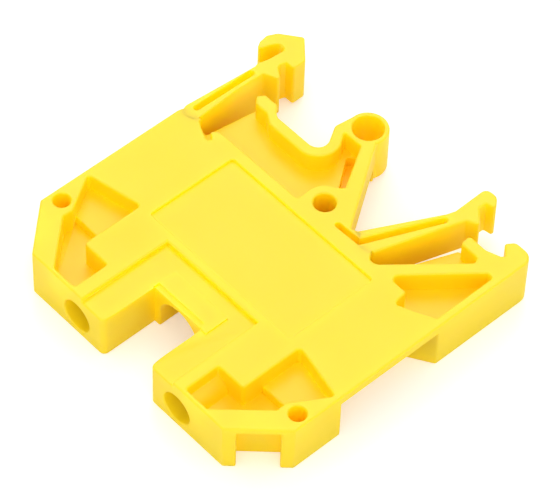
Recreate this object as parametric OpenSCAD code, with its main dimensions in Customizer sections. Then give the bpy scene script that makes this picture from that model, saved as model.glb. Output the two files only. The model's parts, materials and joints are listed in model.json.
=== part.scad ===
// Feed-through screw terminal block for a 35 mm mounting rail.
// It lies on its open side: +Z is the thickness, +Y runs from the screw edge to the rail foot,
// and X runs from one wire side to the other.

/* [Body] */
// Length of the body from one wire side to the other
body_length = 40; // [39:0.5:43]
// Thickness of the body, which is its pitch along the rail
body_thickness = 6.5; // [6.3:0.1:7.5]
// Wall over the wire entries on the closed side
closed_wall = 1.3; // [1:0.1:1.6]
// Length of each corner chamfer along the screw edge
chamfer_x = 5; // [4.5:0.1:5.5]
// Length of each corner chamfer along the wire side
chamfer_y = 5.3; // [4.9:0.1:5.6]
// Rounding of the body's outer corners
corner_round = 0.4; // [0.2:0.05:0.8]

/* [Rail foot] */
// Width of the rail across its two flanges
rail_width = 35; // [34.6:0.1:35.4]
// Play between the rail and its two catches
rail_play = 0.3; // [0.1:0.05:0.6]
// Thickness of the rail's flange
rail_flange = 1; // [0.8:0.1:1.2]
// Distance from the screw edge to the middle of the rail's flange
rail_y = 37.4; // [37:0.1:38.5]
// Distance from the screw edge to the root of the foot
foot_y = 26; // [25.8:0.1:26.4]
// How far the hooks reach over the rail's flange
hook_reach = 1.3; // [1:0.1:1.6]
// Wall of the fixed hook beside the rail's flange
hook_wall = 2.35; // [2:0.05:2.35]
// Outer wall of the foot beside its corner pocket
foot_wall = 1; // [0.8:0.1:1.2]
// Drop from the rail's flange to the floor of the lip recess
seat_drop = 5.3; // [4.8:0.1:5.6]
// Width of the raised rim round the lip recess
seat_rim = 1.35; // [1.1:0.05:1.5]
// Depth of the pockets in the foot below the closed side
foot_pocket = 2.5; // [2:0.1:2.7]
// Thickness of the web that closes those pockets
foot_web = 1.2; // [1:0.1:1.6]
// Depth of the slot beside the tube's leg, below its pocket
leg_slot = 1.4; // [1:0.1:1.6]
// Lift of the foot's sprung parts off the open side
foot_lift = 0.5; // [0.3:0.1:0.8]

/* [Sprung legs] */
// Radius of the release leg's root
release_root = 1.12; // [1.05:0.01:1.15]
// Radius of the spring leg's root
spring_root = 1.4; // [1.3:0.01:1.45]
// Height of the spring leg along the thickness
spring_height = 4.7; // [4:0.1:5]
// Running clearance round the root of each leg
root_clearance = 0.06; // [0.04:0.01:0.1]
// Width of the relief groove along each leg
leg_groove = 0.7; // [0.6:0.02:0.84]
// Depth of the relief groove along each leg
groove_depth = 1.5; // [1:0.1:2]

/* [Clamps] */
// Distance between the two clamping screws
screw_spacing = 15.8; // [15.4:0.1:16.2]
// Height of the screw axes over the open side
axis_height = 2.65; // [2.6:0.05:2.8]
// Diameter of the two screw shafts in the housing
shaft_bore = 3.9; // [3.8:0.05:4]
// Wall of the screw shaft inside the corner pocket
shaft_wall = 0.6; // [0.5:0.05:0.7]
// Diameter of the screw thread
thread_d = 3; // [2.8:0.1:3]
// Lead of the screw thread
thread_pitch = 0.5; // [0.4:0.05:0.7]
// Diameter of the screw head
head_d = 3.6; // [3.4:0.05:3.65]
// Height of the screw head
head_h = 2; // [1.6:0.1:2.2]
// Width of the driver slot in the screw head
driver_slot = 0.8; // [0.6:0.1:1]
// Distance from the screw edge to the top of the screw head
head_y = 2.5; // [2.2:0.1:2.7]
// Distance from the screw edge to the current bar
bar_y = 12; // [11.9:0.05:12.1]
// Thickness of the current bar
bar_thick = 1.5; // [1.2:0.1:1.5]
// Width of the current bar
bar_width = 2.7; // [2.4:0.1:2.8]
// Width of each clamping yoke along the bar
yoke_width = 5.6; // [5:0.1:5.8]
// Height of each clamping yoke along the thickness
yoke_height = 4.4; // [4.2:0.05:4.45]
// Wall of the yoke beside the bar
yoke_wall = 0.7; // [0.5:0.05:0.75]
// Thickness of the yoke's threaded head
yoke_head = 2.4; // [2:0.1:2.5]
// Thickness of the yoke's wire floor
yoke_floor = 1.2; // [1:0.1:1.4]
// Height of the open wire gap between the bar and the yoke's floor
wire_gap = 3; // [2.9:0.05:3.2]
// Clearance between the screw thread and the yoke
thread_clearance = 0.06; // [0.03:0.01:0.1]
// Side clearance of the yoke in its chamber
chamber_play = 0.2; // [0.1:0.05:0.3]
// Wall between a clamp chamber and the closed side
chamber_roof = 1.55; // [1.4:0.05:1.6]

/* [Wire entries] */
// Lower end of the wire entry in the wire side
entry_low = 11.8; // [11.7:0.05:12]
// Upper end of the wire entry in the wire side
entry_high = 25.4; // [24.6:0.1:25.5]

/* [Jumper notch] */
// Width of the jumper notch in the screw edge
notch_width = 7.35; // [6.8:0.05:7.6]
// Depth of the jumper notch from the screw edge
notch_depth = 7.05; // [6.6:0.05:7.2]
// Offset of the jumper notch from the middle of the body
notch_offset = 0.1; // [0:0.05:0.3]
// Rounding of the notch's two mouth corners
notch_round = 0.7; // [0.4:0.05:1]
// Step between the arched channel and the jumper notch's side
arch_step = 0.8; // [0.6:0.05:0.9]
// Height of the arched channel's crown over the open side
arch_crown = 5.2; // [5:0.05:5.3]
// Rise of the pad behind the notch over the shallow recess
pad_rise = 0.2; // [0.1:0.05:0.3]
// Width of the sunk strip along the notch's back edge
strip_width = 0.65; // [0.5:0.05:0.8]
// Width of the shallow recess round the notch
recess_width = 14.2; // [13.4:0.1:14.8]
// Length of the shallow recess from the screw edge
recess_length = 11.75; // [11:0.05:12.2]
// Depth of the shallow recess
recess_depth = 0.65; // [0.5:0.05:0.8]

/* [Label panel] */
// Length of the label panel along the body
panel_length = 21.9; // [20:0.1:23]
// Height of the label panel
panel_height = 11.7; // [11:0.1:11.8]
// Distance from the screw edge to the label panel
panel_y = 12.8; // [12.7:0.05:12.9]
// Depth of the label panel
panel_depth = 0.35; // [0.2:0.05:0.5]

/* [Corner pockets] */
// Depth of the pocket's shelf below the closed side
shelf_depth = 2.2; // [1.8:0.1:2.4]
// Depth of the pocket's floor below the closed side
floor_depth = 3.2; // [2.8:0.1:3.4]
// Length of the marker recess along the chamfer
marker_length = 4.5; // [4:0.1:4.8]
// Depth of the marker recess behind the chamfer
marker_depth = 1.9; // [1.5:0.1:2]
// Wall over the marker recess on the closed side
marker_roof = 0.8; // [0.6:0.1:1.2]

/* [Locating holes] */
// Diameter of the peg socket in each front corner
peg_d = 1.96; // [1.8:0.02:2.1]
// Depth of the peg sockets
peg_depth = 3; // [2.5:0.1:3.2]
// Distance of the peg sockets from the wire sides
peg_inset = 1.5; // [1.4:0.05:1.6]
// Diameter of the hole at the root of the foot
centre_hole_d = 2.5; // [2.2:0.05:2.8]
// Bore of the foot's tube
tube_bore = 3.55; // [3.2:0.05:3.7]
// Outer diameter of the foot's tube
tube_d = 4.66; // [4.5:0.02:4.8]

/* [Hidden] */
$fn = 64;
corner_steps = 5;
cut = 1;
seat_fit = 0.05;
yellow = [1, 0.86, 0.2];
steel = [0.72, 0.73, 0.75];
plated_copper = [0.8, 0.78, 0.72];

half = body_length / 2;
top = body_thickness;
screw_x = screw_spacing / 2;
catch_x = (rail_width + rail_play) / 2;
foot_half = max(half, catch_x + hook_wall);
slot_low = rail_y - rail_flange / 2;
slot_high = rail_y + rail_flange / 2 + rail_play;
seat_y = rail_y - seat_drop;
web_top = top - foot_pocket;
web_bottom = web_top - foot_web;
apex_y = rail_y + 4.8;

// Pivots of the two sprung legs
release_pivot = [-catch_x - release_root, foot_y - 0.1];
spring_pivot = [7.13, foot_y + 2];

// Lip recess, tube and hole of the foot
recess_arc = 1.3;
recess_centre = [-7.15, seat_y + recess_arc];
tube_centre = [-4.55, rail_y + 1.03];
hole_centre = [0, foot_y + 1.8];
leg_foot = [4.42, foot_y + 1.5];
leg_along = unit([-6.74, 9.95]);
leg_inward = [-leg_along[1], leg_along[0]];
window_end = [9.15, foot_y + 0.95];
window_round = 0.83;
hook_outer_x = -catch_x - 4.15;
notch_low = notch_offset - notch_width / 2;
notch_high = notch_offset + notch_width / 2;

// Clamp stack along Y, open clamp at rest
bar_back = bar_y + bar_thick;
yoke_end = bar_back + wire_gap + yoke_floor;
yoke_head_end = bar_y - 0.3;
yoke_start = yoke_head_end - yoke_head;
clamp_travel = wire_gap - 0.25;
chamber_start = yoke_start - clamp_travel - 0.4;
chamber_end = yoke_end + 0.3;
chamber_half = yoke_width / 2 + chamber_play;
chamber_top = top - chamber_roof;
bar_end = screw_x + yoke_width / 2 + 0.6;
entry_top = top - closed_wall;

// Origin at the middle of the footprint
origin_x = (hook_outer_x + half) / 2;
origin_y = apex_y / 2;

function unit(v) = v / norm(v);
function arc(c, r, a0, a1, n) = [for (i = [0:n]) c + r * [cos(a0 + (a1 - a0) * i / n), sin(a0 + (a1 - a0) * i / n)]];

// Points of one rounded corner at p, between the points before and after it
function corner(before, p, after, r) =
    let (u = unit(before - p), v = unit(after - p))
    let (open = acos(max(-1, min(1, u * v))))
    r <= 0 || open > 179 ? [p] :
    let (reach = min(r / tan(open / 2), 0.49 * norm(before - p), 0.49 * norm(after - p)))
    let (radius = reach * tan(open / 2))
    let (centre = p + unit(u + v) * radius / sin(open / 2))
    let (from = p + u * reach - centre, to = p + v * reach - centre)
    let (turn = from[0] * to[1] - from[1] * to[0] > 0 ? 180 - open : open - 180)
    let (start = atan2(from[1], from[0]))
    arc(centre, radius, start, start + turn, corner_steps);

// Outline from points [x, y] or [x, y, corner radius]
function outline(pts) =
    let (n = len(pts))
    let (flat = [for (p = pts) [p[0], p[1]]])
    [for (i = [0:n - 1])
        each corner(flat[(i + n - 1) % n], flat[i], flat[(i + 1) % n], len(pts[i]) > 2 ? pts[i][2] : 0)];

module prism(pts, z0, z1) {
    translate([0, 0, z0]) linear_extrude(z1 - z0) polygon(outline(pts));
}

module block(low, high) {
    translate(low) cube(high - low);
}

module bar_along_y(x, z, r, y0, y1) {
    translate([x, y0, z]) rotate([-90, 0, 0]) cylinder(r = r, h = y1 - y0);
}

// Round-ended groove between two points of the plan
module groove(from, to, width, z0, z1) {
    along = to - from;
    turn = atan2(along[1], along[0]);
    prism(concat(arc(from, width / 2, turn + 90, turn + 270, 8), arc(to, width / 2, turn - 90, turn + 90, 8)),
          z0, z1);
}

// Round-ended groove with one bend on its way
module bent_groove(from, bend, to, width, z0, z1) {
    first = unit(bend - from);
    second = unit(to - bend);
    across = [-first[1] - second[1], first[0] + second[0]] / (1 + first * second);
    turn = atan2(first[1], first[0]);
    end = atan2(second[1], second[0]);
    prism(concat(
        arc(from, width / 2, turn + 90, turn + 270, 8),
        [bend - across * width / 2],
        arc(to, width / 2, end - 90, end + 90, 8),
        [bend + across * width / 2]), z0, z1);
}

module both_sides() {
    children();
    mirror([1, 0, 0]) children();
}

module placed() {
    translate([-origin_x, -origin_y, 0]) children();
}

// Plan of the housing, counter-clockwise from the screw edge
plan_body = [
    [-half + chamfer_x, 0, corner_round],
    [notch_low, 0, notch_round],
    [notch_low, notch_depth],
    [notch_high, notch_depth],
    [notch_high, 0, notch_round],
    [half - chamfer_x, 0, corner_round],
    [half, chamfer_y, corner_round],
    [foot_half, rail_y + 1.9, 1.6]];
plan_fixed_hook = [
    [catch_x - 0.4, rail_y + 1.9, 0.7],
    [catch_x - hook_reach + 0.2, slot_high + 0.1, 0.3],
    [catch_x + 0.15, rail_y - 0.2, 0.15],
    [catch_x - 0.15, slot_low - 0.1, 0.15],
    [catch_x - 1.8, rail_y - 1.2, 1],
    [catch_x - 4.25, rail_y - 1.15, 0.4],
    [catch_x - 4.25, rail_y - 1.95]];
plan_right_window = concat(
    [[catch_x - 4.85, rail_y - 1.95, 0.3], [10.75, foot_y + 4.2]],
    arc(window_end, window_round, 0, -180, 14));
plan_gap_root = [
    [spring_pivot[0] - 1.51, leg_foot[1]]];
plan_tube_neck = [
    [tube_centre[0] - tube_d / 2 - 0.3, rail_y - 1.45, 0.8]];
plan_left_window = [
    [-12.3, seat_y, 1.2],
    [-13.5, seat_y + 1.15, 0.4],
    [-15.4, seat_y + 1.15, 0.4],
    [-15.85, seat_y + 0.4, 0.4],
    [-16.1, seat_y - 0.3, 0.4],
    [-16.75, foot_y + 1.3, 0.4],
    [-16.85, foot_y + 0.35, 0.4],
    [release_pivot[0] + 1.57, release_pivot[1] - 0.3],
    [release_pivot[0] - 1.08, release_pivot[1] - 0.62]];
plan = concat(
    plan_body,
    plan_fixed_hook,
    plan_right_window,
    plan_gap_root,
    [[leg_foot[0], leg_foot[1], 0.3]],
    arc(tube_centre, tube_d / 2, -22, 184, 28),
    plan_tube_neck,
    arc(recess_centre, recess_arc, 30, -90, 10),
    plan_left_window,
    [[-half, foot_y - 1.4], [-half, chamfer_y, corner_round]]);

// Pocket under the lip recess, up to the tube and its leg
rim_arc = recess_arc + seat_rim;
pocket_seat = concat(
    [[-half + 2, foot_y], [-16.8, foot_y - 0.3], [-15.25, foot_y - 1]],
    [[-14.95, foot_y - 0.2, 0.3], [-14.2, foot_y, 0.3], [-2.4, foot_y, 0.3]],
    arc(hole_centre, 2.45, 190, 120, 6),
    [[-0.35, foot_y + 4.45, 0.2], [-0.1, foot_y + 4.9, 0.2]],
    [[-3.25, rail_y - 1.3, 0.25], [-5.9, rail_y - 1.3, 0.2]],
    arc(recess_centre, rim_arc, 28, -90, 10),
    [[-12, seat_y - seat_rim, 1], [-13.4, seat_y - 0.5, 0.6], [-15.1, seat_y - 0.5, 0.3]],
    [[-16.2, seat_y + 0.5], [-half + 2, seat_y + 0.5]]);

// Pocket between the right seat and the brace
pocket_brace = [
    [9, rail_y - 1.5],
    [catch_x - 4.45, rail_y - 1.5],
    [catch_x - 4.05, rail_y - 2.6, 0.2],
    [catch_x - 1.65, rail_y - 2.6, 0.4],
    [catch_x - 1.3, rail_y - 3.3, 0.3],
    [window_end[0] + 0.77 * window_round, window_end[1] - 0.64 * window_round],
    [9, foot_y + 1]];

// Triangular pocket behind the brace
pocket_corner = [
    [11.55, foot_y, 0.55],
    [14.45, foot_y, 0.25],
    [14.7, foot_y - 2, 0.4],
    [foot_half - foot_wall, foot_y, 0.1],
    [foot_half - foot_wall, rail_y - 3.25, 0.45],
    [foot_half - foot_wall - 0.75, rail_y - 3.25, 0.3]];

// Open underside of the foot, up to the seat's rim and the tube
hollow_seat = concat(
    [[-15.4, foot_y + 1], [5.2, foot_y + 1], [5.2, foot_y + 3]],
    [[1, rail_y - 1.45], [-5.7, rail_y - 1.45]],
    arc(recess_centre, rim_arc, 28, -90, 10),
    [[-12, seat_y - seat_rim], [-13.4, seat_y - 0.6], [-15, seat_y - 0.6]]);

// Open underside along the outer edge of the tube's leg
hollow_leg = [
    leg_foot - 0.6 * leg_inward,
    leg_foot + 0.9 * leg_inward,
    leg_foot + 0.9 * leg_inward + 11.6 * leg_along,
    leg_foot - 0.6 * leg_inward + 11.6 * leg_along];

// Pocket in each front corner, beside the screw shaft
pocket_front = [
    [screw_x + 0.85, 0.55, 0.3],
    [half - chamfer_x - 3, 0.55, 0.3],
    [half - 3.25, chamfer_y + 0.45, 0.2],
    [half - 3.3, chamfer_y + 1.7, 0.3],
    [half - 0.65, entry_low - 0.45, 0.3],
    [screw_x + 4.6, entry_low + 1.05, 0.4],
    [screw_x + 4.6, 5, 0.4],
    [screw_x + 0.85, 5, 0.3]];
shelf_end = 7.7;

// Open underside of each front corner
hollow_front = [
    [screw_x + 4, 1.3, 0.3],
    [screw_x + 4.5, 1.3, 0.3],
    [half - 4.4, chamfer_y - 0.5, 0.3],
    [half - 4.4, entry_low - 1.2, 0.3],
    [screw_x + 4, entry_low - 0.6, 0.3]];

// Wire entry, a funnel towards the clamp chamber
entry = [
    [screw_x + 2.9, bar_back + 0.05],
    [half, entry_low],
    [half + cut, entry_low - 0.2],
    [half + cut, entry_high + 0.6],
    [half, entry_high],
    [half - 4, entry_high - 2.5, 0.6],
    [screw_x + 2.9, yoke_end - 0.3]];

module corner_pocket() {
    difference() {
        union() {
            prism(pocket_front, top - shelf_depth, top + cut);
            intersection() {
                prism(pocket_front, top - floor_depth, top - shelf_depth + 0.1);
                block([0, -cut, 0], [half, shelf_end, top]);
            }
        }
        bar_along_y(screw_x, axis_height, shaft_bore / 2 + shaft_wall, -cut, 6);
    }
}

module marker_recess() {
    along = [chamfer_x, chamfer_y];
    translate([half - chamfer_x / 2, chamfer_y / 2, -cut]) rotate([0, 0, atan2(along[1], along[0])])
        translate([-marker_length / 2, -cut, 0]) cube([marker_length, cut + marker_depth, top - marker_roof + cut]);
}

module clamp_chamber() {
    block([screw_x - chamber_half, chamber_start, -cut], [screw_x + chamber_half, chamber_end, chamber_top]);
    bar_along_y(screw_x, axis_height, shaft_bore / 2, -cut, chamber_start + 0.1);
    prism(entry, -cut, entry_top);
    prism(hollow_front, -cut, top - floor_depth - foot_web);
    corner_pocket();
    marker_recess();
    translate([half - peg_inset, chamfer_y + 1.7, top - peg_depth]) cylinder(d = peg_d, h = peg_depth + cut);
}

module jumper_notch() {
    recess_low = notch_offset - recess_width / 2;
    recess_floor = top - recess_depth;
    arch_r = notch_width / 2 - arch_step;
    arch_z = arch_crown - arch_r;
    block([notch_low, notch_depth - 0.1, recess_floor + pad_rise - 0.25],
          [notch_high - 0.35, notch_depth + strip_width, top + cut]);
    difference() {
        block([recess_low, -cut, recess_floor], [recess_low + recess_width, recess_length, top + cut]);
        block([notch_low - 0.12, notch_depth - 0.1, 0],
              [notch_high + 0.8, notch_depth + 2.95, recess_floor + pad_rise]);
    }
    bar_along_y(notch_offset, arch_z, arch_r, notch_depth - 0.1, bar_y);
    block([notch_offset - arch_r, notch_depth - 0.1, -cut], [notch_offset + arch_r, bar_y, arch_z]);
}

// Relief groove that runs round the root of the spring leg and along it
module spring_groove() {
    bent_groove([3.2, foot_y + 0.77], [6.3, foot_y + 0.88], [10.11, rail_y - 1.68], leg_groove,
                top - groove_depth, top + cut);
}

// Round seats for the roots of the two legs
module leg_seats() {
    translate([release_pivot[0], release_pivot[1], -cut])
        cylinder(r = release_root + root_clearance, h = top + 2 * cut);
    translate([spring_pivot[0], spring_pivot[1], top - spring_height - 0.3])
        cylinder(r = spring_root + root_clearance, h = spring_height + 0.3 + cut);
}

module foot_pockets() {
    prism(pocket_seat, web_top, top + cut);
    prism(pocket_brace, web_top, top + cut);
    prism(pocket_corner, web_top, top + cut);
    groove([-3.85, rail_y - 2.1], [-0.62, foot_y + 5], 1.1, web_top - leg_slot, web_top + 0.1);
    groove([-16.95, foot_y - 0.5], [-14.85, foot_y - 1.5], leg_groove, top - 2, top + cut);
    spring_groove();
    leg_seats();
    prism(pocket_brace, -cut, web_bottom);
    prism(pocket_corner, -cut, web_bottom);
    prism(hollow_leg, -cut, web_bottom);
    difference() {
        prism(hollow_seat, -cut, web_bottom - leg_slot);
        translate([hole_centre[0], hole_centre[1], 0]) cylinder(d = centre_hole_d + 2, h = top);
    }
    block([-half + 1, seat_y - seat_rim - 0.6, -cut], [3, apex_y, foot_lift]);
    translate([hole_centre[0], hole_centre[1], -cut]) cylinder(d = centre_hole_d, h = top + 2 * cut);
    translate([tube_centre[0], tube_centre[1], -cut]) cylinder(d = tube_bore, h = top + 2 * cut);
}

// Moulded shell: closed above, open below
module housing() {
    color(yellow) placed() difference() {
        prism(plan, 0, top);
        both_sides() clamp_chamber();
        block([-bar_end - 0.1, bar_y - seat_fit, -cut],
              [bar_end + 0.1, bar_back + seat_fit, axis_height + bar_width / 2 + seat_fit]);
        block([-screw_x, chamber_end + 2.2, -cut], [screw_x, entry_high - 0.9, top - chamber_roof]);
        prism([[-panel_length / 2, panel_y, 0.4], [panel_length / 2, panel_y, 0.4],
               [panel_length / 2, panel_y + panel_height, 0.4], [-panel_length / 2, panel_y + panel_height, 0.4]],
              top - panel_depth, top + cut);
        jumper_notch();
        foot_pockets();
    }
}

// Left leg with the rail hook and the screwdriver slot
release_plan = [
    [release_pivot[0] - release_root, release_pivot[1]],
    [release_pivot[0] + release_root, release_pivot[1]],
    [-catch_x - 0.28, rail_y - 5.9, 0.5],
    [-catch_x - 0.2, rail_y - 2.25, 0.3],
    [-catch_x + hook_reach + 0.45, rail_y - 1.4, 0.3],
    [-catch_x + 0.3, slot_low, 0.2],
    [-catch_x, rail_y, 0.3],
    [-catch_x + 0.25, slot_high - 0.05, 0.2],
    [-catch_x + hook_reach + 0.15, slot_high - 0.05, 0.3],
    [-catch_x + hook_reach + 0.15, slot_high + 1.7, 0.5],
    [-catch_x - 1.2, apex_y, 0.4],
    [hook_outer_x + 0.55, rail_y + 2.95, 0.8],
    [hook_outer_x, rail_y + 1.8, 0.6],
    [hook_outer_x + 0.2, rail_y + 0.6, 0.8],
    [hook_outer_x + 0.85, rail_y - 0.5, 0.3],
    [-catch_x - 2.75, rail_y + 1.3, 0.3],
    [-catch_x - 2.3, rail_y + 2.05, 0.5],
    [-catch_x - 1.2, rail_y + 2.05, 0.5],
    [-catch_x - 1.4, rail_y - 0.4, 0.4],
    [-catch_x - 1.75, rail_y - 1.75, 0.4],
    [-catch_x - 1.6, rail_y - 2.2, 0.4]];

module release_foot() {
    color(yellow) placed() difference() {
        union() {
            prism(release_plan, foot_lift, top);
            translate([release_pivot[0], release_pivot[1], foot_lift])
                cylinder(r = release_root, h = top - foot_lift);
        }
        groove(release_pivot + [-0.12, 0.45], [-catch_x - 1.1, rail_y - 3.2], leg_groove,
               top - groove_depth, top + cut);
    }
}

// Right leg with the hook for a lipped rail
spring_plan = [
    spring_pivot + [-1.655, -0.2],
    spring_pivot + [1.17, -0.95],
    [11.7, rail_y + 0.05, 0.4],
    [13.1, rail_y + 0.7, 0.3],
    [11.3, rail_y + 2.3, 0.15],
    [11.35, rail_y + 3.3, 0.2],
    [12.65, rail_y + 3.5, 0.3],
    [11.5, apex_y, 0.9],
    [9.85, apex_y, 0.95],
    [9.95, rail_y + 0.1, 0.8],
    [9.62, rail_y - 0.9, 0.6]];

module spring_foot() {
    color(yellow) placed() difference() {
        union() {
            prism(spring_plan, top - spring_height, top);
            translate([spring_pivot[0], spring_pivot[1], top - spring_height])
                cylinder(r = spring_root, h = spring_height);
        }
        spring_groove();
    }
}

// Bar that joins the two clamps, with a tapped hole behind the jumper notch
module current_bar() {
    color(plated_copper) placed() difference() {
        block([-bar_end, bar_y, axis_height - bar_width / 2], [bar_end, bar_back, axis_height + bar_width / 2]);
        bar_along_y(notch_offset, axis_height, 0.9, bar_y - cut, bar_back + cut);
    }
}

// Cage that carries the thread and pulls the wire against the bar
module clamp_yoke(side) {
    low = axis_height - yoke_height / 2;
    high = axis_height + yoke_height / 2;
    color(steel) placed() translate([side * screw_x, 0, 0]) difference() {
        block([-yoke_width / 2, yoke_start, low], [yoke_width / 2, yoke_end, high]);
        block([-yoke_width / 2 - cut, yoke_head_end, low + yoke_wall],
              [yoke_width / 2 + cut, yoke_end - yoke_floor, high - yoke_wall]);
        bar_along_y(0, axis_height, thread_d / 2 + thread_clearance, yoke_start - cut, yoke_head_end + cut);
    }
}

module clamp_yoke_left() clamp_yoke(-1);

module clamp_yoke_right() clamp_yoke(1);

// Slotted clamping screw, its tip against the bar
module clamp_screw(side) {
    tip = bar_y - seat_fit;
    point = 0.4;
    neck = head_y + head_h;
    color(steel) placed() translate([side * screw_x, 0, axis_height]) difference() {
        rotate([-90, 0, 0]) rotate_extrude() polygon([
            [0, head_y],
            [head_d / 2 - 0.2, head_y],
            [head_d / 2, head_y + 0.2],
            [head_d / 2, neck],
            [thread_d / 2, neck],
            [thread_d / 2, tip - point],
            [thread_d / 2 - point, tip],
            [0, tip]]);
        block([-head_d, head_y - cut, -driver_slot / 2], [head_d, head_y + head_h / 2, driver_slot / 2]);
    }
}

module clamp_screw_left() clamp_screw(-1);

module clamp_screw_right() clamp_screw(1);

housing();
release_foot();
spring_foot();
current_bar();
clamp_yoke_left();
clamp_yoke_right();
clamp_screw_left();
clamp_screw_right();
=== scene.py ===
"""Studio scene of a rail-mount screw terminal block.

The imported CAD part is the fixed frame. The yellow moulding and its two sprung legs are shown as
filleted copies of their CAD solids, and the clamps get cut threads, broken edges and plated finishes.
Everything is in metres, in the frame of the part: it lies on its open side, with +Z through its
thickness, +Y from the screw edge to the rail foot and +X from one wire side to the other.
"""

from __future__ import annotations

import json
import logging
import math
from dataclasses import dataclass
from enum import Enum

import bmesh
import bpy
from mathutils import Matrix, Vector

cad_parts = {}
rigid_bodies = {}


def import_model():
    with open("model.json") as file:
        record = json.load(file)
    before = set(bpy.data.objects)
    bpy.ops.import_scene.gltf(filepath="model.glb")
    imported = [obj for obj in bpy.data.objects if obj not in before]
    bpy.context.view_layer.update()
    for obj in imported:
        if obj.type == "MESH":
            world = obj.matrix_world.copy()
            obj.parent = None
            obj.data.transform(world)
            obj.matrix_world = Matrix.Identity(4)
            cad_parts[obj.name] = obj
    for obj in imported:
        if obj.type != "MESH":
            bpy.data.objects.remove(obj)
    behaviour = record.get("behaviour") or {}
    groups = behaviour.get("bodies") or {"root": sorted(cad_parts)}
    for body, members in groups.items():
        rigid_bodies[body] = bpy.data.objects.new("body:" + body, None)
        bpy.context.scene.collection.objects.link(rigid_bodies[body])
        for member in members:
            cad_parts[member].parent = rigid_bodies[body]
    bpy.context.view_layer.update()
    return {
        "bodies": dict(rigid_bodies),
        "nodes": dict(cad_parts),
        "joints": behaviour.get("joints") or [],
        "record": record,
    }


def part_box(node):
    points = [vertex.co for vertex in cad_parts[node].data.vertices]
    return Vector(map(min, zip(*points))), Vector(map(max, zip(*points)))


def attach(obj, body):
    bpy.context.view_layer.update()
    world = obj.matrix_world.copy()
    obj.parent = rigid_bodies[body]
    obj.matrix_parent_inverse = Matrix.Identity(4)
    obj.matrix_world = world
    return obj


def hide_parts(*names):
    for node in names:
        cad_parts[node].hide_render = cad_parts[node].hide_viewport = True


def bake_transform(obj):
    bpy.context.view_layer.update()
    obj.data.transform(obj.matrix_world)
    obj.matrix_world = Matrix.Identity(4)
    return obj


LOG = logging.getLogger("terminal_block")
MM = 0.001
FRAME_WIDTH_PX = 560


class Slot(Enum):
    """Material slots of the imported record."""

    POLYAMIDE = "polyamide"
    PLATED_COPPER = "plated_copper"
    PLATED_STEEL = "plated_steel"


class Side(Enum):
    """The two wire sides of the block."""

    LEFT = "left"
    RIGHT = "right"


@dataclass(frozen=True)
class PolyamideFinish:
    """Satin moulded polyamide that lets light through, with a faint cloud and a fine eroded grain.

    Attributes:
        name: Name of the material.
        colour: Main colour.
        cloud_colour: Colour of the faint cloud.
        scatter: Share of the light that passes through the surface.
        scatter_colour: Share of the depth that red, green and blue light reach.
        scatter_depth: Depth that the light reaches, in metres.
        ior: Index of refraction.
        cloud_scale: Scale of the cloud.
        cloud_detail: Fineness of the cloud.
        grain_scale: Scale of the grain.
        grain_detail: Fineness of the grain.
        grain_height: Height of the grain, in metres.
        grain_strength: Share of the grain's height that shows.
        roughness: Middle roughness.
        roughness_spread: How far the cloud changes the roughness.
    """

    name: str = "yellow_polyamide"
    colour: tuple[float, float, float] = (0.985, 0.745, 0.004)
    cloud_colour: tuple[float, float, float] = (0.975, 0.722, 0.003)
    scatter: float = 0.75
    scatter_colour: tuple[float, float, float] = (1.0, 0.8, 0.05)
    scatter_depth: float = 0.002
    ior: float = 1.53
    cloud_scale: float = 140.0
    cloud_detail: float = 3.0
    grain_scale: float = 5200.0
    grain_detail: float = 2.0
    grain_height: float = 0.000012
    grain_strength: float = 0.25
    roughness: float = 0.42
    roughness_spread: float = 0.06

    def build(self) -> bpy.types.Material:
        """Make the material.

        Returns:
            A material whose colour, roughness and grain follow Object coordinates.
        """
        material = bpy.data.materials.new(self.name)
        material.use_nodes = True
        nodes = material.node_tree.nodes
        link = material.node_tree.links.new
        shader = nodes["Principled BSDF"]
        shader.inputs["IOR"].default_value = self.ior
        shader.subsurface_method = "BURLEY"
        shader.inputs["Subsurface Weight"].default_value = self.scatter
        shader.inputs["Subsurface Radius"].default_value = self.scatter_colour
        shader.inputs["Subsurface Scale"].default_value = self.scatter_depth
        place = nodes.new("ShaderNodeTexCoord")

        cloud = nodes.new("ShaderNodeTexNoise")
        cloud.inputs["Scale"].default_value = self.cloud_scale
        cloud.inputs["Detail"].default_value = self.cloud_detail
        link(place.outputs["Object"], cloud.inputs["Vector"])
        tint = nodes.new("ShaderNodeMix")
        tint.data_type = "RGBA"
        tint.inputs["A"].default_value = (*self.colour, 1.0)
        tint.inputs["B"].default_value = (*self.cloud_colour, 1.0)
        link(cloud.outputs["Fac"], tint.inputs["Factor"])
        link(tint.outputs["Result"], shader.inputs["Base Color"])

        sheen = nodes.new("ShaderNodeMapRange")
        sheen.inputs["To Min"].default_value = self.roughness - self.roughness_spread
        sheen.inputs["To Max"].default_value = self.roughness + self.roughness_spread
        link(cloud.outputs["Fac"], sheen.inputs["Value"])
        link(sheen.outputs["Result"], shader.inputs["Roughness"])

        grain = nodes.new("ShaderNodeTexNoise")
        grain.inputs["Scale"].default_value = self.grain_scale
        grain.inputs["Detail"].default_value = self.grain_detail
        link(place.outputs["Object"], grain.inputs["Vector"])
        bump = nodes.new("ShaderNodeBump")
        bump.inputs["Strength"].default_value = self.grain_strength
        bump.inputs["Distance"].default_value = self.grain_height
        link(grain.outputs["Fac"], bump.inputs["Height"])
        link(bump.outputs["Normal"], shader.inputs["Normal"])
        return material


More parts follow.
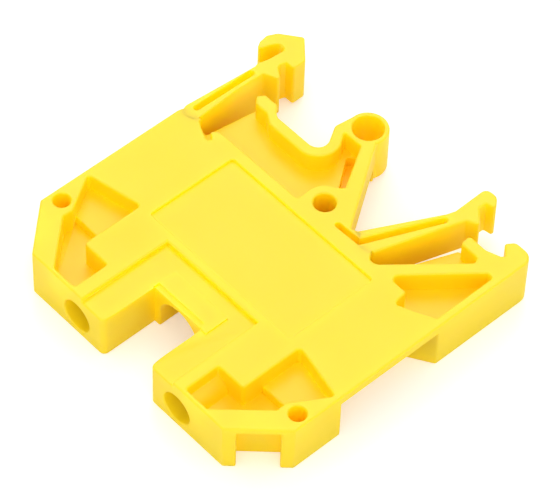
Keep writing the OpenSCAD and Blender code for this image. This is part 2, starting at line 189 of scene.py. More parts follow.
@dataclass(frozen=True)
class PlatedFinish:
    """Plated metal with fine drawn lines and slightly uneven brightness.

    Attributes:
        name: Name of the material.
        colour: Colour of the bright plating.
        dull_colour: Colour of the dull lines.
        roughness: Middle roughness.
        brighter: How far the bright plating is smoother.
        duller: How far the dull lines are rougher.
        stretch: Scale of the lines along X, Y and Z.
        line_scale: Scale of the lines' pattern.
        line_detail: Fineness of the lines.
        line_height: Height of the lines, in metres.
        line_strength: Share of the lines' height that shows.
    """

    name: str
    colour: tuple[float, float, float]
    dull_colour: tuple[float, float, float]
    roughness: float
    brighter: float = 0.08
    duller: float = 0.1
    stretch: tuple[float, float, float] = (900.0, 120.0, 900.0)
    line_scale: float = 4.0
    line_detail: float = 4.0
    line_height: float = 0.000006
    line_strength: float = 0.3

    def build(self) -> bpy.types.Material:
        """Make the material.

        Returns:
            A metal whose drawn lines and dull patches follow Object coordinates.
        """
        material = bpy.data.materials.new(self.name)
        material.use_nodes = True
        nodes = material.node_tree.nodes
        link = material.node_tree.links.new
        shader = nodes["Principled BSDF"]
        shader.inputs["Metallic"].default_value = 1.0
        place = nodes.new("ShaderNodeTexCoord")
        drawn = nodes.new("ShaderNodeMapping")
        drawn.inputs["Scale"].default_value = self.stretch
        link(place.outputs["Object"], drawn.inputs["Vector"])

        lines = nodes.new("ShaderNodeTexNoise")
        lines.inputs["Scale"].default_value = self.line_scale
        lines.inputs["Detail"].default_value = self.line_detail
        link(drawn.outputs["Vector"], lines.inputs["Vector"])
        tint = nodes.new("ShaderNodeMix")
        tint.data_type = "RGBA"
        tint.inputs["A"].default_value = (*self.colour, 1.0)
        tint.inputs["B"].default_value = (*self.dull_colour, 1.0)
        link(lines.outputs["Fac"], tint.inputs["Factor"])
        link(tint.outputs["Result"], shader.inputs["Base Color"])

        dull = nodes.new("ShaderNodeMapRange")
        dull.inputs["To Min"].default_value = self.roughness - self.brighter
        dull.inputs["To Max"].default_value = self.roughness + self.duller
        link(lines.outputs["Fac"], dull.inputs["Value"])
        link(dull.outputs["Result"], shader.inputs["Roughness"])
        bump = nodes.new("ShaderNodeBump")
        bump.inputs["Strength"].default_value = self.line_strength
        bump.inputs["Distance"].default_value = self.line_height
        link(lines.outputs["Fac"], bump.inputs["Height"])
        link(bump.outputs["Normal"], shader.inputs["Normal"])
        return material


class Finishes:
    """One material for each slot of the record."""

    def __init__(self) -> None:
        """Build the three finishes."""
        steel = PlatedFinish(
            name="zinc_plated_steel",
            colour=(0.72, 0.73, 0.75),
            dull_colour=(0.56, 0.57, 0.6),
            roughness=0.3,
        )
        copper = PlatedFinish(
            name="tin_plated_copper",
            colour=(0.8, 0.77, 0.7),
            dull_colour=(0.66, 0.61, 0.52),
            roughness=0.34,
        )
        self.materials: dict[Slot, bpy.types.Material] = {
            Slot.POLYAMIDE: PolyamideFinish().build(),
            Slot.PLATED_STEEL: steel.build(),
            Slot.PLATED_COPPER: copper.build(),
        }

    def dress(self, piece: bpy.types.Object, slot: Slot) -> None:
        """Give a piece the finish of its slot.

        Args:
            piece: The finished piece.
            slot: The record's material slot.
        """
        piece.data.materials.clear()
        piece.data.materials.append(self.materials[slot])


class Solid:
    """A closed shape in millimetres, ready for fillets."""

    def __init__(self) -> None:
        """Start with an empty mesh."""
        self.mesh = bmesh.new()

    def outer_edges(self, least_turn: float = 35.0) -> list[bmesh.types.BMEdge]:
        """Find the edges that stand out of the solid.

        Args:
            least_turn: Smallest turn between the two faces, in degrees.

        Returns:
            The convex edges that turn at least that far.
        """
        least = math.radians(least_turn)
        return [
            edge
            for edge in self.mesh.edges
            if len(edge.link_faces) == 2 and edge.calc_face_angle_signed(0.0) > least
        ]

    def fillet(self, edges: list[bmesh.types.BMEdge], radius: float, segments: int = 3) -> None:
        """Round a set of edges.

        Args:
            edges: Edges to round.
            radius: Fillet radius in millimetres.
            segments: Faces across each fillet.
        """
        bmesh.ops.bevel(
            self.mesh,
            geom=edges,
            offset=radius,
            offset_type="OFFSET",
            segments=segments,
            profile=0.5,
            affect="EDGES",
            clamp_overlap=False,
            loop_slide=False,
            material=-1,
        )

    def unfold(self, depth: float = 0.3, most: int = 80, level_play: float = 0.005) -> None:
        """Close the narrow strips that fillets turned over at tight corners of the two flat sides.

        Args:
            depth: How far the fillets reach from each side, in millimetres.
            most: Most strips to close on each side.
            level_play: Rise under which an edge counts as level, in millimetres.
        """
        heights = [vert.co.z for vert in self.mesh.verts]
        for level, out in ((max(heights), 1.0), (min(heights), -1.0)):
            for _ in range(most):
                self.mesh.normal_update()
                strips = (face for face in self.mesh.faces if turned_over(face, level, out, depth))
                folded = next(strips, None)
                if folded is None:
                    break
                rungs = [
                    edge
                    for edge in folded.edges
                    if abs(edge.verts[0].co.z - edge.verts[1].co.z) < level_play
                ]
                for edge in rungs or [min(folded.edges, key=bmesh.types.BMEdge.calc_length)]:
                    if edge.is_valid:
                        middle = (edge.verts[0].co + edge.verts[1].co) / 2
                        bmesh.ops.pointmerge(self.mesh, verts=list(edge.verts), merge_co=middle)

    def mend(
        self,
        reach: float = 1.6,
        tries: int = 11,
        bend: float = 2.0,
        speck: float = 0.001,
    ) -> None:
        """Clear the flat faces where two fillets ran into each other, and split the folded ones.

        Args:
            reach: Longest loop that is drawn together into one point, in millimetres.
            tries: How often the corners of one face are drawn back.
            bend: Bend over which a face is split, in degrees.
            speck: Length under which an edge is dissolved, in millimetres.
        """
        waiting = [face for face in self.mesh.faces if many_sided(face)]
        patience: dict[bmesh.types.BMFace, int] = {}
        while waiting:
            face = waiting.pop()
            crossing = first_crossing(face) if face.is_valid else None
            if crossing is None:
                continue
            start, end, point = crossing
            verts = list(face.verts)
            loops = [verts[start + 1 : end + 1], verts[end + 1 :] + verts[: start + 1]]
            small = min(loops, key=lambda loop: loop_length(loop, point))
            if loop_length(small, point) < reach:
                bmesh.ops.pointmerge(self.mesh, verts=small, merge_co=point)
                waiting += [near for near in small[0].link_faces if many_sided(near)]
                continue
            patience[face] = patience.get(face, 0) + 1
            if patience[face] <= tries:
                after = verts[(end + 1) % len(verts)]
                for corner in dict.fromkeys((verts[start], verts[start + 1], verts[end], after)):
                    draw_back(corner, face)
                waiting.append(face)
            else:
                LOG.info("face near %s keeps a crossing", tuple(round(value, 2) for value in point))
        limit = math.radians(bend)
        bmesh.ops.connect_verts_nonplanar(self.mesh, angle_limit=limit, faces=self.mesh.faces)
        bmesh.ops.dissolve_degenerate(self.mesh, dist=speck, edges=self.mesh.edges)

    def finish(self, name: str, crease: float = 40.0, flat_weight: int = 80) -> bpy.types.Object:
        """Turn the shape into an object at the origin, in metres.

        Args:
            name: Name of the piece.
            crease: Turn over which an edge stays crisp, in degrees.
            flat_weight: Pull of the large flat faces on the shading.

        Returns:
            The new object, smooth over its fillets and crisp at its inner corners.
        """
        bmesh.ops.scale(self.mesh, vec=(MM,) * 3, verts=self.mesh.verts)
        data = bpy.data.meshes.new(name)
        self.mesh.to_mesh(data)
        self.mesh.free()
        data.shade_smooth()
        data.set_sharp_from_angle(angle=math.radians(crease))
        piece = bpy.data.objects.new(name, data)
        bpy.context.scene.collection.objects.link(piece)
        weighted = piece.modifiers.new("flat_faces", "WEIGHTED_NORMAL")
        weighted.keep_sharp = True
        weighted.weight = flat_weight
        return piece


class SolidCopy(Solid):
    """A merged copy of a CAD node."""

    def __init__(
        self,
        node: bpy.types.Object,
        weld: float = 0.002,
        speck: float = 0.0005,
        flat: float = 0.5,
    ) -> None:
        """Copy and merge the node's loose triangles.

        Args:
            node: The CAD node's object.
            weld: Distance under which points are merged, in millimetres.
            speck: Length under which an edge is dissolved, in millimetres.
            flat: Turn under which faces are joined, in degrees.
        """
        super().__init__()
        self.mesh.from_mesh(node.data)
        bmesh.ops.scale(self.mesh, vec=(1 / MM,) * 3, verts=self.mesh.verts)
        bmesh.ops.remove_doubles(self.mesh, verts=self.mesh.verts, dist=weld)
        bmesh.ops.dissolve_degenerate(self.mesh, dist=speck, edges=self.mesh.edges)
        bmesh.ops.dissolve_limit(
            self.mesh,
            angle_limit=math.radians(flat),
            use_dissolve_boundaries=False,
            verts=self.mesh.verts,
            edges=self.mesh.edges,
        )


def many_sided(face: bmesh.types.BMFace) -> bool:
    """Whether a face has more than four corners."""
    return len(face.verts) > 4


def is_wall(face: bmesh.types.BMFace, most_lean: float = 0.5) -> bool:
    """Whether a face stands upright more than it lies flat."""
    return abs(face.normal.z) < most_lean


def face_height(face: bmesh.types.BMFace) -> float:
    """Height of a face along Z, in the units of its mesh."""
    heights = [vert.co.z for vert in face.verts]
    return max(heights) - min(heights)


def turned_over(
    face: bmesh.types.BMFace,
    level: float,
    out: float,
    depth: float,
    slack: float = 0.005,
) -> bool:
    """Whether a face of the fillets round a flat side looks into the solid.

    Args:
        face: The face to test.
        level: Height of the flat side.
        out: 1 for a side that looks up, -1 for one that looks down.
        depth: How far the fillets reach from the side.
        slack: How far an upright face may lean over.

    Returns:
        True where the face lies in the fillets and is turned over.
    """
    near = all(abs(vert.co.z - level) < depth for vert in face.verts)
    return near and out * face.normal.z < -slack


def rim_width(edge: bmesh.types.BMEdge) -> float:
    """Width of the flat rim beside an edge, in the units of its mesh.

    Args:
        edge: An edge between a wall and a flat face.

    Returns:
        The shortest way across the flat faces beside it, from the middle of the edge.
    """
    width = math.inf
    middle = (edge.verts[0].co + edge.verts[1].co) / 2
    for face in edge.link_faces:
        if is_wall(face):
            continue
        along = (edge.verts[1].co - edge.verts[0].co).normalized()
        inward = face.normal.cross(along)
        corner = next(loop for loop in face.loops if loop.edge == edge)
        if corner.vert != edge.verts[0]:
            inward = -inward
        for side in face.edges:
            start = side.verts[0].co - middle
            end = side.verts[1].co - middle
            near, far = start.dot(along), end.dot(along)
            if side == edge or near * far >= 0.0:
                continue
            reach = start.lerp(end, near / (near - far)).dot(inward)
            if reach > 0.0:
                width = min(width, reach)
    return width


def chains_of(edges: list[bmesh.types.BMEdge]) -> list[list[bmesh.types.BMEdge]]:
    """Group edges into chains that run on from each other.

    Args:
        edges: The edges to group.

    Returns:
        The chains, which end where more than two of the edges meet.
    """
    waiting = set(edges)
    chains: list[list[bmesh.types.BMEdge]] = []
    for seed in edges:
        if seed not in waiting:
            continue
        waiting.discard(seed)
        chain = [seed]
        for edge in chain:
            for vert in edge.verts:
                here = [near for near in vert.link_edges if near in waiting]
                if sum(near in waiting or near in chain for near in vert.link_edges) == 2:
                    waiting.difference_update(here)
                    chain += here
        chains.append(chain)
    return chains


def loop_length(verts: list[bmesh.types.BMVert], point: Vector) -> float:
    """Length of the loop from a point through a row of vertices and back to it."""
    places = [point, *(vert.co for vert in verts), point]
    return sum((after - before).length for before, after in zip(places, places[1:]))


def draw_back(corner: bmesh.types.BMVert, face: bmesh.types.BMFace, share: float = 0.3) -> None:
    """Move a corner of a flat face back towards the fillet that it belongs to.

    Args:
        corner: The corner to move.
        face: The flat face, whose plane it stays in.
        share: Share of the way to the fillet's next vertex.
    """
    strips = [edge for edge in corner.link_edges if face not in edge.link_faces]
    if strips:
        way = sum((edge.other_vert(corner).co - corner.co for edge in strips), Vector()) / len(strips)
        corner.co += share * (way - way.dot(face.normal) * face.normal)


def first_crossing(
    face: bmesh.types.BMFace,
    touch: float = 1e-12,
) -> tuple[int, int, Vector] | None:
    """Find two sides of a flat face that cross each other.

    Args:
        face: The face to search.
        touch: Product of areas under which two sides only touch.

    Returns:
        The numbers of the two sides and the point where they cross, or None.
    """
    across = face.normal.orthogonal().normalized()
    along = face.normal.cross(across)
    flat = [(vert.co.dot(across), vert.co.dot(along)) for vert in face.verts]
    count = len(flat)
    for start in range(count - 2):
        ax, ay = flat[start]
        bx, by = flat[start + 1]
        for end in range(start + 2, count - (start == 0)):
            cx, cy = flat[end]
            dx, dy = flat[(end + 1) % count]
            side_c = (bx - ax) * (cy - ay) - (by - ay) * (cx - ax)
            side_d = (bx - ax) * (dy - ay) - (by - ay) * (dx - ax)
            if side_c * side_d >= -touch:
                continue
            side_a = (dx - cx) * (ay - cy) - (dy - cy) * (ax - cx)
            side_b = (dx - cx) * (by - cy) - (dy - cy) * (bx - cx)
            if side_a * side_b < -touch:
                first, second = face.verts[start].co, face.verts[start + 1].co
                return start, end, first.lerp(second, side_a / (side_a - side_b))
    return None


@dataclass
class LegRoot:
    """Round root of a sprung leg, where the moulding runs on from the body without a seam.

    Attributes:
        joint: Name of the leg's joint in the record.
        radius: Radius of the leg's root, in millimetres.
        seat: First and last angle of its seat in the body, in degrees.
        moved: Corners of the leg and where the moulding has them, from the axis, in millimetres.
        web: Corners of the web that joins leg and body, from the axis, in millimetres.
        clearance: Running clearance round the root in the CAD solids, in millimetres.
        edge_play: How near an edge lies to the root, its seat or the web, in millimetres.
        corner_play: How near a point lies to its corner, in millimetres.
        pivot: A point of the root's axis, in millimetres, once it is located.
    """

    joint: str
    radius: float
    seat: tuple[float, float]
    moved: tuple[tuple[tuple[float, float], tuple[float, float]], ...] = ()
    web: tuple[tuple[float, float], ...] = ()
    clearance: float = 0.06
    edge_play: float = 0.03
    corner_play: float = 0.02
    pivot: Vector | None = None

    def locate(self, joints: list[dict]) -> None:
        """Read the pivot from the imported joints.

        Args:
            joints: The record's joints.
        """
        found = next(joint for joint in joints if joint["name"] == self.joint)
        self.pivot = Vector(found["pos_m"]) / MM

    def distance(self, point: Vector, place: tuple[float, float] = (0.0, 0.0)) -> float:
        """Distance of a point from the root's axis, or from a place beside it, in millimetres."""
        return math.hypot(point.x - self.pivot.x - place[0], point.y - self.pivot.y - place[1])

    def near_corner(self, point: Vector, corners: tuple[tuple[float, float], ...], play: float) -> bool:
        """Whether a point lies at one of some corners, which are given from the axis."""
        return any(self.distance(point, corner) < play for corner in corners)

    def holds(self, edge: bmesh.types.BMEdge) -> bool:
        """Whether an edge belongs to the seam between leg and body, which stays sharp.

        Args:
            edge: The edge to test.

        Returns:
            True where it lies on the root, on its seat in the body or against the web.
        """
        low = self.radius - self.edge_play
        high = self.radius + self.clearance + self.edge_play
        ends = [vert.co for vert in edge.verts]
        on_root = all(low < self.distance(point) < high for point in ends)
        return on_root or all(self.near_corner(point, self.web, self.edge_play) for point in ends)

    def close(self, copy: SolidCopy, seam: float = 0.002, skin: float = 0.004) -> None:
        """Grow the leg's root to its seat and move its corners, so that no gap shows.

        Args:
            copy: The leg's copy, before its fillets.
            seam: Gap that is left to the seat, in millimetres.
            skin: How near a point lies to the root's round side, in millimetres.
        """
        grown = self.radius + self.clearance - seam
        first, last = self.seat
        for vert in copy.mesh.verts:
            reach = self.distance(vert.co)
            away_x = vert.co.x - self.pivot.x
            away_y = vert.co.y - self.pivot.y
            angle = math.degrees(math.atan2(away_y, away_x)) % 360.0
            if abs(reach - self.radius) < skin and first < angle < last:
                vert.co.x = self.pivot.x + away_x * grown / reach
                vert.co.y = self.pivot.y + away_y * grown / reach
            for start, end in self.moved:
                if self.distance(vert.co, start) < self.corner_play:
                    vert.co.x = self.pivot.x + end[0]
                    vert.co.y = self.pivot.y + end[1]

    def join(self, node: str, fillet: float, name: str) -> bpy.types.Object:
        """Make the web that fills the corner between body and leg.

        Args:
            node: The leg's CAD node, whose height the web takes.
            fillet: Radius of its free edge, between its first two corners, in millimetres.
            name: Name of the piece.

        Returns:
            The finished piece.
        """
        low, high = (corner[2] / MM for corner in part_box(node))
        web = Solid()
        corners = [web.mesh.verts.new((self.pivot.x + x, self.pivot.y + y, low)) for x, y in self.web]
        raised = bmesh.ops.extrude_face_region(web.mesh, geom=[web.mesh.faces.new(corners)])["geom"]
        upper = [part for part in raised if isinstance(part, bmesh.types.BMVert)]
        bmesh.ops.translate(web.mesh, vec=(0.0, 0.0, high - low), verts=upper)
        bmesh.ops.recalc_face_normals(web.mesh, faces=web.mesh.faces)
        rim = [vert for vert in upper if self.near_corner(vert.co, self.web[:2], self.corner_play)]
        free = [edge for edge in web.mesh.edges if all(vert in rim for vert in edge.verts)]
        web.fillet(free, fillet)
        made = web.finish(name)
        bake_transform(made)
        return made


@dataclass
class Moulding:
    """The yellow body with its two sprung legs.

    Attributes:
        fillet: Radius of the outer edges, in millimetres.
        step_fillet: Radius along low steps, in millimetres.
        rim_share: Share of a thin rim's width that a fillet may take.
        line_fillet: Radius along the faint lines of pad and strip, in millimetres.
        low_step: Height under which a wall counts as a low step, in millimetres.
        faint_line: Height under which a wall counts as a faint line, in millimetres.
        tall_wall: Height that no wall counts more than, in millimetres.
        thin_share: Share of a chain of edges that may have a thinner rim.
        fine_fillet: Radius under which a fillet has two faces and not three, in millimetres.
        ledge: Lowest and highest corner of the ledge behind the jumper notch, in millimetres.
    """

    fillet: float = 0.22
    step_fillet: float = 0.13
    rim_share: float = 0.3
    line_fillet: float = 0.06
    low_step: float = 0.5
    faint_line: float = 0.3
    tall_wall: float = 9.0
    thin_share: float = 0.25
    fine_fillet: float = 0.1
    ledge: tuple[tuple[float, float, float], ...] = ((-4.0, -14.3, 5.7), (6.0, -10.9, 6.1))

    def build(self, frame: dict, finishes: Finishes) -> list[bpy.types.Object]:
        """Make the body and the legs.

        Args:
            frame: The loaded frame.
            finishes: The block's finishes.

        Returns:
            The web at the root of the spring leg, the body and the legs.
        """
        release = LegRoot(joint="release_leg_bend", radius=1.12, seat=(211.0, 343.0))
        spring = LegRoot(
            joint="spring_leg_bend",
            radius=1.4,
            seat=(198.0, 316.0),
            moved=(
                ((-1.655, -0.2), (-1.965, -0.17)),
                ((1.17, -0.95), (1.19, -1.043)),
            ),
            web=(
                (-1.965, -0.17),
                (-2.551, -0.5),
                (-1.51, -0.5),
                (-1.36, -0.531),
                (-1.38, -0.472),
                (-1.373, -0.275),
            ),
        )
        roots = [release, spring]
        for root in roots:
            root.locate(frame["joints"])
        web = spring.join("spring_foot", self.fillet, "moulded_spring_web")
        finishes.dress(web, Slot.POLYAMIDE)
        made = [web]
        for node, body, name, root in (
            ("housing", "housing", "moulded_body", None),
            ("release_foot", "release_leg", "moulded_release_leg", release),
            ("spring_foot", "spring_leg", "moulded_spring_leg", spring),
        ):
            made.append(self.piece(frame["nodes"][node], body, name, roots, root, finishes))
        return made

    def piece(
        self,
        node: bpy.types.Object,
        body: str,
        name: str,
        roots: list[LegRoot],
        own_root: LegRoot | None,
        finishes: Finishes,
    ) -> bpy.types.Object:
        """Make one filleted piece of the moulding.

        Args:
            node: The CAD node that it stands for.
            body: The CAD body that it rides on.
            name: Name of the piece.
            roots: The roots of both legs.
            own_root: The piece's own root, or None for the body.
            finishes: The block's finishes.

        Returns:
            The finished piece.
        """
        copy = SolidCopy(node)
        if own_root is not None:
            own_root.close(copy)
        self.round_edges(copy, roots)
        made = copy.finish(name)
        finishes.dress(made, Slot.POLYAMIDE)
        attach(made, body)
        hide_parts(node.name)
        return made

    def wall_height(self, edge: bmesh.types.BMEdge) -> float:
        """Height of the lowest wall beside an edge, in millimetres."""
        walls = [face_height(face) for face in edge.link_faces if is_wall(face)]
        return min([*walls, self.tall_wall])

    def radius_for(self, chain: list[bmesh.types.BMEdge]) -> float:
        """Choose the fillet of a chain of edges.

        Args:
            chain: Edges that run on from each other.

        Returns:
            The radius that the walls and the rims beside the chain leave room for, in millimetres.
        """
        length = sum(edge.calc_length() for edge in chain)
        wall = sum(edge.calc_length() * self.wall_height(edge) for edge in chain) / length
        if wall < self.faint_line or all(self.on_ledge(edge) for edge in chain):
            return self.line_fillet
        if wall < self.low_step:
            return self.step_fillet
        passed = 0.0
        for width, part in sorted((rim_width(edge), edge.calc_length()) for edge in chain):
            passed += part
            if passed > self.thin_share * length:
                return round(max(self.line_fillet, min(self.fillet, self.rim_share * width)), 2)
        return self.fillet

    def on_ledge(self, edge: bmesh.types.BMEdge) -> bool:
        """Whether an edge belongs to the fine ledge behind the jumper notch."""
        low, high = self.ledge
        return all(low[axis] < vert.co[axis] < high[axis] for vert in edge.verts for axis in range(3))

    def round_edges(self, copy: SolidCopy, roots: list[LegRoot]) -> None:
        """Round the outer edges, gently where steps are low or rims are thin.

        Args:
            copy: The copy to round.
            roots: Roots whose seams stay sharp.
        """
        free = [edge for edge in copy.outer_edges() if not any(root.holds(edge) for root in roots)]
        passes: dict[float, list[bmesh.types.BMEdge]] = {}
        fine = [edge for edge in free if self.on_ledge(edge)]
        bold = [edge for edge in free if not self.on_ledge(edge)]
        for chain in chains_of(fine) + chains_of(bold):
            passes.setdefault(self.radius_for(chain), []).extend(chain)
        for radius in sorted(passes):
            alive = [edge for edge in passes[radius] if edge.is_valid]
            copy.fillet(alive, radius, segments=2 if radius < self.fine_fillet else 3)
        copy.unfold()
        copy.mend()


@dataclass
class Stamping:
    """A metal piece with broken edges, such as the current bar or a yoke.

    Attributes:
        name: Name of the piece.
        body: The CAD body that it rides on.
        slot: The record's material slot.
        edge_break: Radius of the broken edges, in millimetres.
    """

    name: str
    body: str
    slot: Slot
    edge_break: float = 0.12

    def build(self, node: bpy.types.Object, finishes: Finishes) -> bpy.types.Object:
        """Make the piece from its CAD node.

        Args:
            node: The CAD node that it stands for.
            finishes: The block's finishes.

        Returns:
            The finished piece.
        """
        copy = SolidCopy(node)
        self.shape(copy)
        made = copy.finish(self.name)
        finishes.dress(made, self.slot)
        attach(made, self.body)
        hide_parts(node.name)
        return made

    def shape(self, copy: SolidCopy) -> None:
        """Break the outer edges."""
        copy.fillet(copy.outer_edges(), self.edge_break, segments=2)
        copy.mend()


@dataclass
class ClampScrew(Stamping):
    """Slotted clamping screw with a cut thread.

    Attributes:
        crest: Radius over the thread, in millimetres.
        depth: Depth of the thread, in millimetres.
        blunt: How far its crest is blunted, in millimetres.
        lead: Way along the axis for each turn, in millimetres.
        run_out: Plain length at each end of the thread, in millimetres.
        flank_share: Half the width of the ridge's foot, as a share of the lead.
        sink: How deep the ridge sits in the core, in millimetres.
        skin: How near a point lies to the shank's round side, in millimetres.
        steps: Faces round each turn.
    """

    crest: float = 1.5
    depth: float = 0.28
    blunt: float = 0.03
    lead: float = 0.5
    run_out: float = 0.5
    flank_share: float = 0.42
    sink: float = 0.02
    skin: float = 0.02
    steps: int = 24

    def shape(self, copy: SolidCopy) -> None:
        """Break the edges of head and slot, then cut the thread.

        Args:
            copy: The screw's copy.
        """
        verts = copy.mesh.verts
        middle = sum((vert.co for vert in verts), Vector()) / len(verts)
        axis = Vector((middle.x, 0.0, middle.z))
        shank = [vert for vert in verts if abs(self.reach(vert.co, axis) - self.crest) < self.skin]
        start = min(vert.co.y for vert in shank)
        end = max(vert.co.y for vert in shank)
        core = self.crest - self.depth
        for vert in shank:
            vert.co.x = axis.x + (vert.co.x - axis.x) * core / self.crest
            vert.co.z = axis.z + (vert.co.z - axis.z) * core / self.crest
        super().shape(copy)
        self.cut_thread(copy.mesh, axis, start + self.run_out, end - self.run_out)

    def reach(self, point: Vector, axis: Vector) -> float:
        """Distance of a point from the screw's axis, in millimetres."""
        return math.hypot(point.x - axis.x, point.z - axis.z)

    def cut_thread(self, mesh: bmesh.types.BMesh, axis: Vector, start: float, end: float) -> None:
        """Wind the thread's ridge round the core.

        Args:
            mesh: The screw's mesh.
            axis: A point of the screw's axis.
            start: Where the thread starts along Y.
            end: Where the thread ends along Y.
        """
        base = self.crest - self.depth - self.sink
        flank = self.flank_share * self.lead
        top = self.crest - self.blunt
        outline = [(base, -flank), (top, -self.blunt), (top, self.blunt), (base, flank)]
        corners = [mesh.verts.new((axis.x + out, start + along, axis.z)) for out, along in outline]
        sides = [mesh.edges.new(pair) for pair in zip(corners, [corners[-1], *corners])]
        turns = math.floor((end - start) / self.lead)
        before = set(mesh.faces)
        bmesh.ops.spin(
            mesh,
            geom=corners + sides,
            cent=axis,
            axis=(0.0, 1.0, 0.0),
            dvec=(0.0, self.lead / self.steps, 0.0),
            angle=2.0 * math.pi * turns,
            steps=self.steps * turns,
        )
        ends = [edge for edge in mesh.edges if edge.is_boundary]
        bmesh.ops.holes_fill(mesh, edges=ends, sides=len(outline))
        bmesh.ops.recalc_face_normals(mesh, faces=[face for face in mesh.faces if face not in before])


class Clamps:
    """Current bar, yokes and screws."""

    def build(self, frame: dict, finishes: Finishes) -> list[bpy.types.Object]:
        """Make the metal pieces.

        Args:
            frame: The loaded frame.
            finishes: The block's finishes.

        Returns:
            The bar, both yokes and both screws.
        """
        nodes = frame["nodes"]
        bar = Stamping("plated_bar", "housing", Slot.PLATED_COPPER)
        made = [bar.build(nodes["current_bar"], finishes)]
        for side in Side:
            end = side.value
            yoke = Stamping(f"plated_yoke_{end}", f"yoke_{end}", Slot.PLATED_STEEL)
            screw = ClampScrew(f"slotted_screw_{end}", f"screw_{end}", Slot.PLATED_STEEL)
            made.append(yoke.build(nodes[f"clamp_yoke_{end}"], finishes))
            made.append(screw.build(nodes[f"clamp_screw_{end}"], finishes))
        return made


@dataclass(frozen=True)
class Softbox:
    """Square softbox that faces the block.

    Attributes:
        name: Name of the lamp.
        place: Where it hangs, in metres.
        side: Length of its sides, in metres.
        brightness: Brightness of its front, where 1 is white.
    """

    name: str
    place: tuple[float, float, float]
    side: float
    brightness: float

    def hang(self) -> None:
        """Add the lamp to the scene and turn it to the block."""
        lamp = bpy.data.lights.new(self.name, "AREA")
        lamp.size = self.side
        lamp.energy = self.brightness * math.pi * self.side * self.side
        holder = bpy.data.objects.new(self.name, lamp)
        holder.location = self.place
        holder.rotation_euler = Vector(self.place).to_track_quat("Z", "Y").to_euler()
        bpy.context.scene.collection.objects.link(holder)


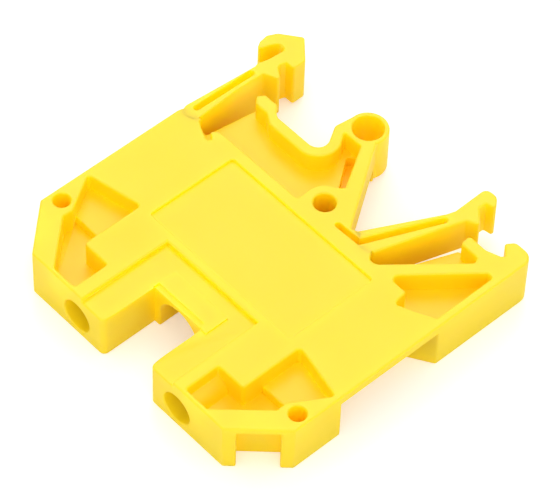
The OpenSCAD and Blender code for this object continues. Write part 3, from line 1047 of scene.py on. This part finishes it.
@dataclass
class Studio:
    """White floor, soft light and the camera at the photograph's viewing angle.

    Attributes:
        ambient: Strength of the white surroundings.
        floor_side: Side of the square floor, in metres.
        floor_grey: How much light the floor throws back.
        floor_glow: Light that the floor adds where the camera sees it.
        softboxes: The lamps.
        camera_place: Where the camera stands, in metres.
        camera_turn: Turn of the camera about X, Y and Z, in degrees.
        lens: Focal length, in millimetres.
        sensor_width: Width of the sensor, in millimetres.
        shift_px: Shift of the picture to the right and up, in pixels.
        clip: Nearest and farthest distance that the camera sees, in metres.
        bounces: How often light bounces between the block's walls.
    """

    ambient: float = 0.92
    floor_side: float = 3.0
    floor_grey: float = 0.92
    floor_glow: float = 0.3
    softboxes: tuple[Softbox, ...] = (
        Softbox("back_softbox", (-0.33, 0.32, 0.57), side=0.36, brightness=2.0),
        Softbox("front_softbox", (0.42, -0.42, 0.3), side=0.5, brightness=0.6),
    )
    camera_place: tuple[float, float, float] = (0.159398, -0.153159, 0.278425)
    camera_turn: tuple[float, float, float] = (38.7099, -1.4703, 47.7435)
    lens: float = 214.025
    sensor_width: float = 36.0
    shift_px: tuple[float, float] = (0.14, -0.45)
    clip: tuple[float, float] = (0.01, 20.0)
    bounces: int = 16

    def build(self) -> None:
        """Set up floor, surroundings, lamps and camera."""
        self.floor()
        self.surroundings()
        for softbox in self.softboxes:
            softbox.hang()
        self.camera()
        scene = bpy.context.scene
        scene.view_settings.view_transform = "Standard"
        scene.cycles.max_bounces = self.bounces
        scene.cycles.diffuse_bounces = self.bounces

    def floor(self) -> None:
        """Lay the white floor, which keeps a soft contact shadow."""
        plane = bmesh.new()
        bmesh.ops.create_grid(plane, x_segments=1, y_segments=1, size=self.floor_side / 2)
        data = bpy.data.meshes.new("floor")
        plane.to_mesh(data)
        plane.free()
        floor = bpy.data.objects.new("floor", data)
        bpy.context.scene.collection.objects.link(floor)
        data.materials.append(self.floor_finish())

    def floor_finish(self) -> bpy.types.Material:
        """Make the floor's material.

        Returns:
            A white that glows a little for the camera and throws back plain light.
        """
        material = bpy.data.materials.new("white_floor")
        material.use_nodes = True
        nodes = material.node_tree.nodes
        link = material.node_tree.links.new
        nodes.clear()
        paper = nodes.new("ShaderNodeBsdfDiffuse")
        paper.inputs["Color"].default_value = (self.floor_grey, self.floor_grey, self.floor_grey, 1.0)
        glow = nodes.new("ShaderNodeEmission")
        glow.inputs["Strength"].default_value = self.floor_glow
        sight = nodes.new("ShaderNodeLightPath")
        seen = nodes.new("ShaderNodeMixShader")
        dark = nodes.new("ShaderNodeEmission")
        dark.inputs["Strength"].default_value = 0.0
        both = nodes.new("ShaderNodeAddShader")
        out = nodes.new("ShaderNodeOutputMaterial")
        link(sight.outputs["Is Camera Ray"], seen.inputs["Fac"])
        link(dark.outputs["Emission"], seen.inputs[1])
        link(glow.outputs["Emission"], seen.inputs[2])
        link(paper.outputs["BSDF"], both.inputs[0])
        link(seen.outputs["Shader"], both.inputs[1])
        link(both.outputs["Shader"], out.inputs["Surface"])
        return material

    def surroundings(self) -> None:
        """Make the world an even white that the camera and reflections see as full white."""
        world = bpy.data.worlds.new("white_surroundings")
        bpy.context.scene.world = world
        world.use_nodes = True
        nodes = world.node_tree.nodes
        link = world.node_tree.links.new
        background = nodes["Background"]
        background.inputs["Color"].default_value = (1.0, 1.0, 1.0, 1.0)
        sight = nodes.new("ShaderNodeLightPath")
        strength = nodes.new("ShaderNodeMapRange")
        strength.inputs["To Min"].default_value = self.ambient
        strength.inputs["To Max"].default_value = 1.0
        shown = nodes.new("ShaderNodeMath")
        shown.operation = "MAXIMUM"
        mirrored = nodes.new("ShaderNodeMath")
        mirrored.operation = "MAXIMUM"
        link(sight.outputs["Is Camera Ray"], shown.inputs[0])
        link(sight.outputs["Is Glossy Ray"], shown.inputs[1])
        link(shown.outputs["Value"], mirrored.inputs[0])
        link(sight.outputs["Is Transmission Ray"], mirrored.inputs[1])
        link(mirrored.outputs["Value"], strength.inputs["Value"])
        link(strength.outputs["Result"], background.inputs["Strength"])

    def camera(self) -> None:
        """Put the camera at the photograph's viewing angle."""
        data = bpy.data.cameras.new("camera")
        data.sensor_fit = "HORIZONTAL"
        data.sensor_width = self.sensor_width
        data.lens = self.lens
        data.shift_x = self.shift_px[0] / FRAME_WIDTH_PX
        data.shift_y = self.shift_px[1] / FRAME_WIDTH_PX
        data.clip_start, data.clip_end = self.clip
        camera = bpy.data.objects.new("camera", data)
        camera.location = self.camera_place
        camera.rotation_euler = [math.radians(angle) for angle in self.camera_turn]
        bpy.context.scene.collection.objects.link(camera)
        bpy.context.scene.camera = camera


def main() -> None:
    """Build the block and its studio, and report each piece."""
    logging.basicConfig(level=logging.INFO, format="%(name)s: %(message)s")
    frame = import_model()
    finishes = Finishes()
    pieces = Moulding().build(frame, finishes)
    pieces += Clamps().build(frame, finishes)
    Studio().build()
    for piece in pieces:
        LOG.info("%s: %d faces", piece.name, len(piece.data.polygons))
    bpy.context.view_layer.update()


if __name__ == "__main__":
    main()
